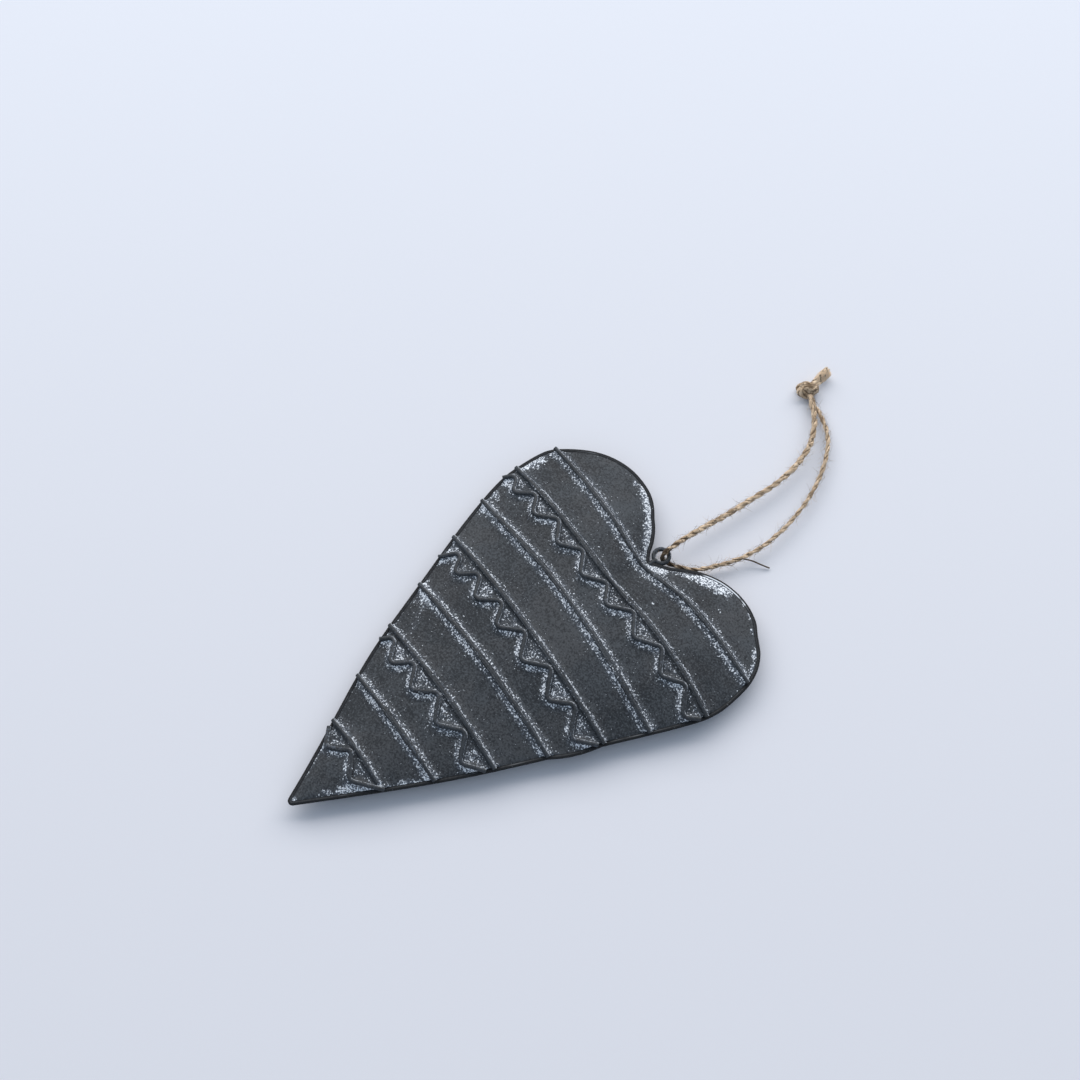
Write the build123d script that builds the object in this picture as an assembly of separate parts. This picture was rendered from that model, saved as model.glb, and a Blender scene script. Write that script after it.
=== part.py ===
from build123d import *
import math
import os

os.makedirs("parts", exist_ok=True)

# A puffed tin heart with soldered wire lines and zigzags, hung on a loop of jute twine.
# Millimetres. The heart lies on its back, its tip towards -Y and its lobes towards +Y.
# The origin is under the middle of the heart, on the surface that it lies on.

# Heart
heart_length = 146.8
heart_width = 100.0
tin_wall = 0.5
rim_height = 5.0
front_rise = 6.0
tip_radius = 1.35
tip_half_angle = 26.7
tip_softening = 24.0
crown_share = 0.62
flange_share = 0.985
swell_power = 2.2
back_swell_power = 2.6
rise_shares = (flange_share, 0.93, 0.85, 0.74, 0.6, 0.42, 0.22, 0.08)
back_rise_shares = (flange_share, 0.94, 0.87, 0.79, 0.7, 0.6)

# Outline, as shares of half the width and of the length from the tip
right_side_shares = ((0.484, 0.332), (0.678, 0.497), (0.868, 0.663), (0.968, 0.757))
right_widest_shares = (1.0, 0.819)
right_shoulder_shares = ((0.980, 0.872), (0.872, 0.945), (0.738, 0.977))
right_top_shares = (0.524, 1.0)
right_inner_shares = ((0.310, 0.978), (0.186, 0.948), (0.100, 0.915))
notch_shares = (-0.012, 0.893)
left_inner_shares = ((-0.084, 0.912), (-0.154, 0.940), (-0.246, 0.965))
left_top_shares = (-0.486, 0.990)
left_shoulder_shares = ((-0.704, 0.972), (-0.828, 0.942), (-0.950, 0.890))
left_widest_shares = (-1.0, 0.792)
left_side_shares = ((-0.954, 0.702), (-0.836, 0.587), (-0.700, 0.472), (-0.538, 0.336))

# Soldered wires
wire_diameter = 1.4
wire_end_setback = 0.3
seat_gap = 0.26
zigzag_seat_gap = 0.36
# Stations from the left rim to the right one, of the way across
station_shares = (0.0, 0.08, 0.2, 0.35, 0.5, 0.65, 0.8, 0.92, 1.0)
notch_station_shares = (0.0, 0.07, 0.2, 0.32, 0.4, 0.46, 0.5, 0.54, 0.6, 0.68, 0.8, 0.93, 1.0)
# Heights of each plain wire at its stations, of the length
plain_wire_shares = (
    (0.2589, 0.2600, 0.2607, 0.2616, 0.2614, 0.2616, 0.2622, 0.2620, 0.2620),
    (0.4721, 0.4746, 0.4762, 0.4786, 0.4793, 0.4786, 0.4779, 0.4766, 0.4755),
    (0.6846, 0.6866, 0.6901, 0.6955, 0.6941, 0.6907, 0.6826, 0.6757, 0.6717),
)
# The wire nearest the lobes, which dips under the notch
notch_wire_shares = (
    0.8794, 0.8815, 0.8822, 0.8787, 0.8726, 0.8675, 0.8665, 0.8713, 0.8815, 0.8937, 0.8992,
    0.8971, 0.8958,
)
# The same for the border wires, which close the zigzags towards the lobes
border_wire_shares = (
    (0.1662, 0.1672, 0.1683, 0.1692, 0.1695, 0.1693, 0.1685, 0.1676, 0.1669),
    (0.3719, 0.3740, 0.3750, 0.3762, 0.3770, 0.3768, 0.3758, 0.3744, 0.3733),
    (0.5892, 0.5913, 0.5927, 0.5930, 0.5919, 0.5904, 0.5879, 0.5852, 0.5831),
    (0.7861, 0.7895, 0.7923, 0.7915, 0.7896, 0.7985, 0.7990, 0.7922, 0.7847),
)
# How far each border wire's right end stops short of the rim
border_end_gap = (3.0, wire_end_setback, wire_end_setback, wire_end_setback)

# Zigzag wires
zigzag_bend_radius = 1.8
zigzag_top_gap = 1.75
zigzag_corner_inset = 0.7
zigzag_drop = (6.0, 7.0, 7.2, 6.0)
# Corners from left to right, a lower and an upper one by turns, of half the heart's width
zigzag_corner_shares = (
    (-0.146, -0.034, 0.098),
    (-0.476, -0.354, -0.262, -0.134, -0.018, 0.116, 0.256, 0.380),
    (-0.698, -0.604, -0.506, -0.390, -0.272, -0.164, -0.032, 0.094, 0.234, 0.374, 0.492, 0.632),
    (-0.936, -0.848, -0.748, -0.646, -0.522, -0.396, -0.268, -0.144, -0.014, 0.098, 0.230, 0.358,
     0.504, 0.632, 0.760, 0.900),
)
zigzag_starts_low = (True, False, False, False)
# Heights at which the ends reach the rim, of the length
zigzag_end_shares = ((0.1520, 0.1700), (0.3380, 0.3563), (0.5375, 0.5710), (0.7490, 0.7710))

# Hanging eye, a ring of wire whose shank runs into the seam at the notch
eye_mean_radius = 2.35
eye_wire_diameter = 1.4
eye_to_notch = 3.9
eye_offset = 0.3
shank_length = 9.0
shank_clearance = 0.08

# Twine
twine_diameter = 2.0
bight_clearance = 0.3
bight_bend_share = 0.97
bight_angle = 72.0
bight_lead = 1.6
# Both strands from the eye to the knot, points chosen along the twine
left_strand = (
    (-1.9, 68.3, 5.9),
    (-2.1, 73.0, 3.4),
    (-1.5, 79.4, 1.5),
    (-0.4, 87.8, 1.1),
    (-0.1, 97.0, 1.1),
    (-0.2, 106.4, 1.1),
    (-1.9, 115.4, 1.1),
    (-5.2, 123.6, 1.1),
    (-10.6, 129.6, 1.3),
)
right_strand = (
    (3.9, 66.6, 2.2),
    (7.9, 69.4, 1.3),
    (11.2, 74.6, 1.1),
    (13.2, 82.2, 1.1),
    (13.8, 91.6, 1.1),
    (12.3, 102.4, 1.1),
    (8.7, 112.9, 1.1),
    (3.6, 122.4, 1.1),
    (-3.2, 129.7, 1.1),
    (-10.6, 132.3, 1.2),
)
limp_share = 0.45

# Knot and the two cut tails
knot_centre = (-20.4, 134.4, 2.45)
knot_radius = 3.15
knot_flat_share = 0.78
knot_wrap_radius = 1.05
knot_wrap_fullness = 1.1
knot_wrap_tilt = 52.0
knot_in_angle = 157.0
knot_out_angle = 99.0
knot_in_face_share = 0.6
knot_out_face_share = 0.82
strand_spacing = 2.1
strand_stack_tilt = 75.0
strand_lead = 3.0
tail_stack_tilt = 60.0
tail_length = 7.6
tail_end_radius = 1.35
tail_spread = 8.0

half_width = heart_width / 2
half_length = heart_length / 2
crown_from_tip = heart_length * crown_share
flange_top = rim_height + tin_wall
wire_radius = wire_diameter / 2
eye_wire_radius = eye_wire_diameter / 2
twine_radius = twine_diameter / 2


def heart_outline(draw, height):
    """The heart drawn in towards its crown by a share; its tip and its notch soften as it goes in."""
    radius = tip_radius * draw + tip_softening * draw * (1 - draw)
    slope = math.radians(tip_half_angle)
    apex = -tip_radius * (1 / math.sin(slope) - 1)

    def from_crown(y):
        return draw * (y - crown_from_tip) + crown_from_tip - half_length

    def at(shares, top=None):
        x_share, y_share = shares
        if top is None:
            y = from_crown(heart_length * y_share)
        else:
            y = from_crown(heart_length * top) - draw * draw * heart_length * (top - y_share)
        return Vector(draw * half_width * x_share, y, height)

    right_top, left_top = right_top_shares[1], left_top_shares[1]
    notch = at(notch_shares, (right_top + left_top) / 2)
    centre = from_crown(apex) + radius / math.sin(slope)
    side_x, side_y = radius * math.cos(slope), centre - radius * math.sin(slope)
    tip_right, tip_left = Vector(side_x, side_y, height), Vector(-side_x, side_y, height)
    up_right = (math.sin(slope), math.cos(slope))
    down_right = (math.sin(slope), -math.cos(slope))
    right_widest, left_widest = at(right_widest_shares), at(left_widest_shares)
    right_crest, left_crest = at(right_top_shares), at(left_top_shares)
    east, west, north, south = (1, 0), (-1, 0), (0, 1), (0, -1)
    edges = [
        Spline(tip_right, *[at(s) for s in right_side_shares], right_widest,
               tangents=[up_right, north]),
        Spline(right_widest, *[at(s) for s in right_shoulder_shares], right_crest,
               tangents=[north, west]),
        Spline(right_crest, *[at(s, right_top) for s in right_inner_shares], notch,
               tangents=[west, west]),
        Spline(notch, *[at(s, left_top) for s in left_inner_shares], left_crest,
               tangents=[west, west]),
        Spline(left_crest, *[at(s) for s in left_shoulder_shares], left_widest,
               tangents=[west, south]),
        Spline(left_widest, *[at(s) for s in left_side_shares], tip_left,
               tangents=[south, down_right]),
        ThreePointArc(tip_left, Vector(0, centre - radius, height), tip_right),
    ]
    return Wire(edges)


def front_swell(start):
    """The front swells up to its crown."""
    rings = []
    for draw in rise_shares:
        rise = 1 - (draw / flange_share) ** swell_power
        rings.append(heart_outline(draw, start + front_rise * rise))
    return Solid.make_loft(rings)


def back_swell(start):
    """The back swells down to a flat panel, on which the heart lies."""
    widest, last = flange_share, back_rise_shares[-1]
    depth = rim_height - tin_wall
    rings = []
    for draw in back_rise_shares:
        inward = (widest - draw) / (widest - last)
        rise = 1 - (1 - inward) ** back_swell_power
        rings.append(heart_outline(draw, start - depth * rise))
    return Solid.make_loft(rings)


def flange(start, thickness):
    return extrude(Face(heart_outline(1.0, start)), thickness)


def shank_bore():
    notch_y = heart_length * notch_shares[1] - half_length
    radius = eye_wire_radius + shank_clearance
    centre = (eye_place.X, notch_y - shank_length / 2 + eye_to_notch, rim_height)
    return Pos(*centre) * (Rot(X=90) * Cylinder(radius, shank_length + eye_to_notch))


def make_front_shell():
    """Front sheet: a flat flange and the puffed face, of one even wall."""
    outer = front_swell(flange_top)
    inner = front_swell(rim_height)
    return flange(rim_height, tin_wall) + outer - inner - shank_bore()


def make_back_shell():
    """Back sheet: the same flange turned over, a shallow pan and a flat panel."""
    outer = back_swell(rim_height - tin_wall)
    inner = back_swell(rim_height)
    return flange(rim_height, -tin_wall) + outer - inner - shank_bore()


def seat(x, y, gap):
    """The centre of a wire that lies on the front at x and y."""
    hits = front_shell.find_intersection_points(Axis((x, y, 0), (0, 0, 1)))
    place, normal = max(hits, key=lambda hit: hit[0].Z)
    if normal.Z < 0:
        normal = -normal
    return place + normal * (wire_radius + gap)


def rim_span(y):
    """Where the outline crosses a height: its left and right x."""
    cut = Face(heart_outline(1.0, 0)) & Line((-heart_width, y), (heart_width, y))
    ends = [v.X for e in cut.edges() for v in e.vertices()]
    return min(ends), max(ends)


def gentle_radii(points):
    """At each corner the largest bend that both of its runs leave room for."""
    radii = []
    for before, corner, after in zip(points, points[1:], points[2:]):
        turn = math.radians((corner - before).get_angle(after - corner))
        run = min((corner - before).length, (after - corner).length)
        radii.append(limp_share * run / math.tan(turn / 2))
    return radii


def tube(points, radius, radii):
    path = FilletPolyline(*points, radius=radii)
    start = Plane(origin=points[0], z_dir=points[1] - points[0])
    return sweep(start * Circle(radius), path=path), path.length


def wire_stations(shares, right_gap):
    """Points along a wire that crosses the front from rim to rim."""
    left = rim_span(heart_length * shares[0] - half_length)[0] + wire_end_setback
    right = rim_span(heart_length * shares[-1] - half_length)[1] - right_gap
    places = station_shares if len(shares) == len(station_shares) else notch_station_shares
    stations = []
    for station, share in zip(places, shares):
        x = left + (right - left) * station
        stations.append((x, heart_length * share - half_length))
    return stations


def height_at(stations, x):
    """The height of a wire at x, between its stations."""
    for (x0, y0), (x1, y1) in zip(stations, stations[1:]):
        if x <= x1:
            return y0 + (y1 - y0) * (x - x0) / (x1 - x0)
    return stations[-1][1]


def straight_wire(stations):
    points = [seat(x, y, seat_gap) for x, y in stations]
    return tube(points, wire_radius, gentle_radii(points))[0]


def zigzag_wire(number):
    """A wire bent to and fro under its border wire, its ends at the rim."""
    border = border_stations[number]
    low = zigzag_starts_low[number]
    corners = []
    for share in zigzag_corner_shares[number]:
        x = half_width * share
        if low:
            below = zigzag_drop[number] + zigzag_corner_inset
        else:
            below = zigzag_top_gap - zigzag_corner_inset
        corners.append((x, height_at(border, x) - below))
        low = not low
    left_y, right_y = [heart_length * s - half_length for s in zigzag_end_shares[number]]
    left_x, right_x = rim_span(left_y)[0] + wire_end_setback, rim_span(right_y)[1] - wire_end_setback
    route = [(left_x, left_y), *corners, (right_x, right_y)]
    points = [seat(x, y, zigzag_seat_gap) for x, y in route]
    return tube(points, wire_radius, [zigzag_bend_radius] * len(corners))[0]


def make_eye():
    ring = Torus(eye_mean_radius, eye_wire_radius)
    shank = Pos(0, -eye_mean_radius - shank_length / 2, 0) * (
        Rot(X=90) * Cylinder(eye_wire_radius, shank_length)
    )
    return Pos(*eye_place) * (ring + shank)


def knot_direction(angle):
    return Vector(math.cos(math.radians(angle)), math.sin(math.radians(angle)), 0)


def half_spacing(direction, tilt):
    """From the middle of two strands that lie one over the other, half way to the lower one."""
    across = direction.cross(Vector(0, 0, 1))
    down = Vector(0, 0, -1)
    lean = math.radians(tilt)
    return (across * math.cos(lean) + down * math.sin(lean)) * (strand_spacing / 2)


def twine_route():
    """One length of twine: from the knot, over the eye's wire, round it, and back to the knot."""
    out = Vector(math.cos(math.radians(bight_angle)), math.sin(math.radians(bight_angle)), 0)
    up = Vector(0, 0, 1)
    held = eye_place + out * eye_mean_radius
    turn = eye_wire_radius + twine_radius + bight_clearance
    bight = [
        held + out * bight_lead + up * turn,
        held - out * turn + up * turn,
        held - out * turn - up * turn,
        held + out * bight_lead - up * turn,
    ]
    into = knot_direction(knot_in_angle)
    face = Vector(*knot_centre) - into * (knot_radius * knot_in_face_share)
    aside = half_spacing(into, strand_stack_tilt)
    left_end, right_end = face - aside, face + aside
    left = [left_end, left_end - into * strand_lead, *[Vector(*p) for p in reversed(left_strand)]]
    right = [*[Vector(*p) for p in right_strand], right_end - into * strand_lead, right_end]
    points = left + bight + right
    radii = gentle_radii(points)
    first = len(left)
    radii[first] = turn * bight_bend_share
    radii[first + 1] = turn * bight_bend_share
    return points, radii


def make_knot():
    """An overhand knot: a full ball with the turn that wraps it, flat where the twine goes in and out."""
    centre = Vector(*knot_centre)
    into, away = knot_direction(knot_in_angle), knot_direction(knot_out_angle)
    ball = scale(Sphere(knot_radius), by=(1, 1, knot_flat_share))
    turn = Torus(knot_radius - knot_wrap_radius, knot_wrap_radius * knot_wrap_fullness)
    wrap = Rot(Z=knot_in_angle) * (Rot(Y=90 - knot_wrap_tilt) * turn)
    knot = Pos(*centre) * (ball + wrap)
    start = centre - into * (knot_radius * knot_in_face_share)
    end = centre + away * (knot_radius * knot_out_face_share)
    knot = split(knot, Plane(origin=start, z_dir=into), keep=Keep.TOP)
    knot = split(knot, Plane(origin=end, z_dir=away), keep=Keep.BOTTOM)
    floor = Plane(origin=(0, 0, 0), z_dir=(0, 0, 1))
    return split(knot, floor, keep=Keep.TOP)


def make_tails():
    """The two cut ends beyond the knot, opened out towards their tips."""
    away = knot_direction(knot_out_angle)
    face = Vector(*knot_centre) + away * (knot_radius * knot_out_face_share)
    tails = []
    for side in (-1, 1):
        start = face + half_spacing(away, tail_stack_tilt) * side
        direction = knot_direction(knot_out_angle - side * tail_spread)
        end = start + direction * tail_length
        tail = Solid.make_loft([
            Wire((Plane(origin=start, z_dir=away) * Circle(twine_radius)).edges()),
            Wire((Plane(origin=end, z_dir=direction) * Circle(tail_end_radius)).edges()),
        ])
        tails.append(tail)
    return Compound(tails)


eye_place = Vector(
    -eye_offset, heart_length * notch_shares[1] - half_length + eye_to_notch, rim_height
)
front_shell = make_front_shell()
back_shell = make_back_shell()
plain_stations = [
    wire_stations(shares, wire_end_setback) for shares in (*plain_wire_shares, notch_wire_shares)
]
border_stations = [
    wire_stations(shares, gap) for shares, gap in zip(border_wire_shares, border_end_gap)
]

export_step(front_shell, "parts/front_shell.step")
export_step(back_shell, "parts/back_shell.step")
export_step(make_eye(), "parts/hanging_eye.step")
for number, stations in enumerate(plain_stations):
    export_step(straight_wire(stations), f"parts/plain_wire_{number + 1}.step")
for number, stations in enumerate(border_stations):
    export_step(straight_wire(stations), f"parts/border_wire_{number + 1}.step")
    export_step(zigzag_wire(number), f"parts/zigzag_wire_{number + 1}.step")

points, radii = twine_route()
twine, length = tube(points, twine_radius, radii)
print("twine bends, mm:", [round(r, 1) for r in radii])
print("twine length, mm:", round(length, 1))
section = math.pi * twine_radius**2
print("twine volume over section times length:", round(twine.volume / (section * length), 4))
export_step(twine, "parts/twine_loop.step")
export_step(make_knot(), "parts/twine_knot.step")
export_step(make_tails(), "parts/twine_tails.step")
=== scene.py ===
import math

import bpy
import numpy as np
from bpy.props import FloatProperty, FloatVectorProperty, IntProperty, PointerProperty
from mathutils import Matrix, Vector
from mathutils.bvhtree import BVHTree
from mathutils.geometry import delaunay_2d_cdt
from mathutils.kdtree import KDTree
from mathutils.noise import noise


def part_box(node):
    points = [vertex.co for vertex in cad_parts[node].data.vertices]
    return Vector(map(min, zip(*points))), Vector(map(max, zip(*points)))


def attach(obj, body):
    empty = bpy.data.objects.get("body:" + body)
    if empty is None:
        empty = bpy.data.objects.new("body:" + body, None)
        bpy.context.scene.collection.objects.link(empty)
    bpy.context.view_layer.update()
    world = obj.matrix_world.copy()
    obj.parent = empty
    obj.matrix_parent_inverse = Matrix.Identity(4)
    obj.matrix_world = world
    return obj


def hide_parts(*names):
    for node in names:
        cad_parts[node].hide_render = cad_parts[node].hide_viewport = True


bl_info = {
    "name": "Tin Heart Ornament",
    "version": (1, 0, 0),
    "blender": (4, 5, 0),
    "location": "3D View > Sidebar > Heart",
    "description": "Dresses a puffed tin heart with its solder lines and a loop of jute twine",
    "category": "Object",
}

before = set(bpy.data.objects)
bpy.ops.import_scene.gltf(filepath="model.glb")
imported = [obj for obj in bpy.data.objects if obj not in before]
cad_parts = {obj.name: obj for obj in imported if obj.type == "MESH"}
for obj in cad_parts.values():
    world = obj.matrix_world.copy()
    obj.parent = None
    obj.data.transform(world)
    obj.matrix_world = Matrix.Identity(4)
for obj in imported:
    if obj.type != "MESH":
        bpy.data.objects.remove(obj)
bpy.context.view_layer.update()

MM = 0.001
PLAIN = [f"plain_wire_{n}" for n in range(1, 5)]
BORDER = [f"border_wire_{n}" for n in range(1, 5)]
ZIGZAG = [f"zigzag_wire_{n}" for n in range(1, 5)]
# The kinds of wire, by the first word of their names
KINDS = ("plain", "border", "zigzag")

# The middle that the heart's outline is measured from, and the seam between its two sheets, mm
MIDDLE = Vector((0.0, 17.6, 0.0))
SEAM = 5.0
# Distances that are clear of the heart to the side and above, from which rays are cast, mm
FAR_OUT = 150
HIGH = 60
# The outline is nowhere nearer to its middle than this, but for the slot of the eye, mm
SLOT_RADIUS = 39.0
# The ridge that bridges that slot, mm: its start, and its middle, its half width and its height
BRIDGE_START = 52.0
BRIDGE = (-0.3, 0.95, 0.92)
# How far apart the points of the edge lie, and how near to the seam its outline is taken, mm
EDGE_STEP = 0.45
EDGE_RISE = 0.25
# A wire's radius, and how high its middle stands over the sheet, mm
WIRE_RADIUS = 0.7
WIRE_STANDS = 0.96

# The lattice of points over the heart, mm: its first corner, its size, and a row's share of a step
LATTICE_START = (-50.0, -73.5)
LATTICE_SIZE = (101.0, 148.0)
ROW_SHARE = 0.866
# How near to a wire all points of the lattice stay, and every second one, mm
ALL_WITHIN = 0.95
HALF_WITHIN = 2.4

# The camera's place and what it looks at in metres, and the picture's way up along the floor
CAMERA = Vector((0.1890, -0.1169, 0.6243))
CAMERA_AIM = Vector((-0.0260, 0.0344, 0.0050))
PICTURE_UP = (-0.8175, 0.5753)

# The window light: which way it lies, how far and how large in metres, and its colour
LAMP_WAY = Vector((-0.592, 0.449, 0.669)).normalized()
LAMP_AWAY = 2.1
LAMP_SIZE = (5.0, 1.6)
LAMP_COLOUR = (1.0, 0.934, 0.866)
SKY_COLOUR = (0.766, 0.876, 1.0, 1.0)
FLOOR_HALF = 3.0

# The twine's route in metres, from the knot, through the eye and back to the knot
ROUTE = (
    (-0.0188, 0.1334, 0.0020),
    (-0.0160, 0.1322, 0.0028),
    (-0.0099, 0.1287, 0.0035),
    (-0.0043, 0.1228, 0.0035),
    (-0.0010, 0.1145, 0.0036),
    (0.0003, 0.1055, 0.0037),
    (-0.0000, 0.0962, 0.0038),
    (-0.0000, 0.0869, 0.0040),
    (-0.0007, 0.0785, 0.0044),
    (-0.0009, 0.0722, 0.0050),
    (-0.0005, 0.0683, 0.0065),
    (-0.0001, 0.0652, 0.0073),
    (-0.0003, 0.0622, 0.0063),
    (0.0003, 0.0611, 0.0044),
    (0.0026, 0.0626, 0.0029),
    (0.0046, 0.0644, 0.0022),
    (0.0065, 0.0663, 0.0021),
    (0.0090, 0.0686, 0.0024),
    (0.0114, 0.0742, 0.0028),
    (0.0139, 0.0815, 0.0031),
    (0.0146, 0.0909, 0.0033),
    (0.0130, 0.1016, 0.0033),
    (0.0094, 0.1122, 0.0031),
    (0.0040, 0.1217, 0.0028),
    (-0.0030, 0.1290, 0.0023),
    (-0.0104, 0.1320, 0.0019),
    (-0.0157, 0.1326, 0.0016),
    (-0.0186, 0.1339, 0.0015),
)

# At shares of the twine's length, its thickness as a share of its diameter: less past the eye
THICKNESS = ((0.0, 0.95), (0.36, 0.95), (0.43, 0.82), (0.50, 0.72), (0.56, 0.73), (1.0, 0.76))

# One long dark fibre that stands away from the twine, metres
STRAY = (
    (0.0141, 0.0820, 0.0030), (0.0160, 0.0842, 0.0024), (0.0179, 0.0855, 0.0015),
    (0.0206, 0.0876, 0.0006),
)

# The middle of the eye's ring in metres, on the side that the twine leaves
EYE = np.array((0.0002, 0.0622, 0.0045))

# The knot's middle in metres, its own two directions on the table and the way its ends leave
KNOT = np.array((-0.0204, 0.1344, 0.00245))
KNOT_SIDE = np.array((0.5753, 0.8175, 0.0))
KNOT_AHEAD = np.array((-0.8175, 0.5753, 0.0))
KNOT_OUT = np.array((-0.156, 0.988, 0.0))
UP = np.array((0.0, 0.0, 1.0))

# The rim from the seam to the face, mm: how far in, how far from the seam, how dark it is painted,
# and its wear with a painted highlight
RIM = (
    (0.7, 0.03, 1.0, 0.0), (0.12, 0.03, 1.0, 0.0), (0.02, 0.08, 1.0, 0.0), (0.0, 0.2, 1.0, 0.0),
    (0.01, 0.36, 1.0, 0.0), (0.1, 0.46, 1.0, 0.0), (0.5, 0.5, 1.0, 0.0), (0.58, 0.5, 0.6, 1.0),
    (0.88, 0.49, 0.6, 1.0), (0.94, 0.43, 1.0, 0.0), (1.06, 0.43, 1.0, 0.0), (1.2, 0.5, 0.2, 0.0),
)

# Where the edge is rubbed, and where it is rubbed most with how wide that is, by angle; the
# brightest part is partly a painted highlight
RUBBED_AND_LIT = (64.0, 82.0)
BRIGHTEST = (71.5, 5.5)

# How far the edge worked by hand stands outside the solid's, by angle and mm
LIPS = (
    (35.0, 0.0), (40.0, 0.4), (50.0, 0.45), (55.0, 0.0), (60.0, -0.3), (63.0, -0.1), (66.0, 0.0),
    (69.0, 0.15), (71.0, 0.5), (73.0, 0.85), (75.0, 1.05), (77.0, 1.15), (81.0, 1.15),
    (82.5, 1.2), (83.7, 1.5), (84.5, 1.7), (85.4, 1.95), (86.0, 1.9), (87.3, 1.6), (88.0, 1.35),
    (89.2, 0.85), (90.6, 0.1), (91.6, 0.0), (92.5, 0.35), (93.5, 0.75), (95.4, 0.55), (97.6, 0.2),
    (100.0, 0.0), (103.0, -0.6), (106.0, -0.5), (110.0, -0.35), (130.0, -0.25), (150.0, 0.0),
)

# How high the solder stands at distances from a wire's middle, as shares of its full reach
# and of its full height
FILLET = (
    (0.0, 0.94), (0.12, 1.0), (0.2, 0.86), (0.283, 0.66), (0.383, 0.46), (0.5, 0.3),
    (0.667, 0.15), (0.867, 0.04), (1.0, 0.0),
)
# The same in mm on the side of a border wire that faces its zigzag
STEEP = ((0.3, 1.5), (0.5, 1.3), (0.75, 0.95), (1.0, 0.7), (1.4, 0.5), (2.0, 0.3), (3.0, 0.0))

# How much flux lies at distances from a wire's middle, mm, where the flux reaches this far
FLUX_REACH = 3.8
# On the upper side the bright line close to the wire is partly flux and partly a painted highlight
# of the solder's lit crest
FLUX_UPPER = (
    (0.5, 0.0), (0.6, 0.72), (0.8, 0.82), (1.05, 0.66), (1.5, 0.58), (2.0, 0.42), (2.4, 0.32),
    (3.0, 0.16), (3.8, 0.0),
)
FLUX_LOWER = (
    (0.6, 0.0), (0.78, 0.66), (1.1, 0.7), (1.5, 0.7), (2.0, 0.66), (2.3, 0.5), (2.7, 0.3),
    (3.2, 0.12), (3.8, 0.0),
)
# The same for a border wire's upper side, its bright line also partly a painted highlight
FLUX_BORDER = (
    (0.4, 0.0), (0.55, 0.8), (0.75, 0.92), (1.0, 0.72), (1.3, 0.42), (1.8, 0.24), (2.6, 0.1),
    (3.4, 0.0),
)
FLUX_OUTLINE = (
    (0.6, 0.0), (0.78, 0.5), (1.0, 0.55), (1.5, 0.49), (2.0, 0.39), (2.5, 0.25), (3.0, 0.12),
    (3.6, 0.0),
)

# Pale streaks that the flux left away from the wires, mm: both ends, width and strength
STREAKS = (
    (-22.0, 70.6, -12.0, 66.0, 1.6, 1.1), (-12.0, 66.0, -6.0, 60.6, 1.9, 1.0),
    (-6.0, 60.6, -2.6, 57.6, 1.5, 0.9), (-16.0, 68.6, -12.5, 66.6, 1.2, 0.6),
    (1.6, 56.6, 3.9, 59.0, 1.8, 1.2), (5.0, 61.0, 9.0, 62.9, 0.9, 0.7),
    (9.0, 63.2, 13.0, 66.6, 1.2, 1.0), (13.0, 66.8, 20.0, 70.8, 2.0, 1.45),
    (19.3, 67.2, 21.9, 72.4, 0.5, 1.6), (22.3, 69.9, 23.0, 69.2, 0.5, 0.8),
    (-24.6, 69.2, -23.9, 68.7, 0.7, 1.1), (-29.6, 70.6, -28.8, 70.5, 0.6, 0.7),
    (24.5, 65.0, 25.0, 64.6, 0.5, 0.5), (26.6, 72.2, 27.4, 72.0, 0.5, 0.7),
    (30.2, 71.9, 32.0, 71.6, 0.8, 1.0), (34.8, 69.3, 35.8, 68.9, 0.6, 0.9),
    (41.0, 65.6, 42.3, 64.4, 0.7, 0.9), (44.2, 62.6, 45.3, 61.4, 0.7, 0.8),
    (-48.8, 43.8, -47.4, 50.2, 1.3, 1.05), (-46.6, 47.7, -45.9, 47.9, 0.7, 1.0),
    (-47.9, 31.8, -44.8, 31.3, 1.1, 0.7), (-44.4, 25.9, -43.6, 25.2, 0.9, 0.6),
    (-47.6, 37.3, -46.8, 36.2, 0.8, 0.7), (-9.9, -55.5, -5.1, -64.8, 1.3, 0.95),
    (3.0, -63.4, 4.2, -62.0, 0.7, 0.8), (-0.2, -71.7, 0.2, -71.5, 0.7, 1.4),
    (6.9, -56.7, 5.7, -59.1, 1.3, 1.0), (8.5, -55.5, 11.5, -49.5, 0.9, 0.8),
    (14.1, -43.0, 18.8, -36.9, 1.1, 0.8), (-28.3, -7.3, -23.7, -13.5, 1.6, 0.35),
    (11.5, 49.3, 11.9, 49.0, 0.3, 1.2), (-31.0, -9.0, -29.5, -4.0, 1.2, 0.35),
)


def length_property(name, description, default, low, high):
    """A length that a user may change, in metres."""
    return FloatProperty(
        name=name, description=description, default=default, min=low, max=high,
        precision=5, unit="LENGTH",
    )


def colour_property(name, description, default):
    """A colour that a user may change."""
    return FloatVectorProperty(
        name=name, description=description, default=default, min=0.0, max=1.0, subtype="COLOR",
    )


class SheetSettings(bpy.types.PropertyGroup):
    """The tin sheets and their patina."""

    fine_step: length_property(
        "Fine Step", "Distance between points beside the wires", 0.0002, 0.00018, 0.002,
    )
    unevenness: length_property(
        "Unevenness", "How far the hand-worked sheet rises and falls", 0.00016, 0.0, 0.001,
    )
    tin: colour_property("Tin", "Dark patina of the sheets", (0.0166, 0.0208, 0.026))
    tin_pale: colour_property(
        "Rubbed Tin", "Patina where it is rubbed thin", (0.0645, 0.075, 0.0875),
    )
    # Nearly black: painted shade in the creases beside the wires, and the colour of the rim's dark
    # edge
    dark_rim_and_crease_shade: colour_property("Grime", "Nearly black dirt in the creases", (0.005, 0.006, 0.008))
    residue: colour_property("Residue", "Pale crust of flux", (0.84, 0.91, 1.0))
    residue_thin: colour_property(
        "Thin Residue", "Flux where it is only a film", (0.11, 0.13, 0.165),
    )


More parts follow.
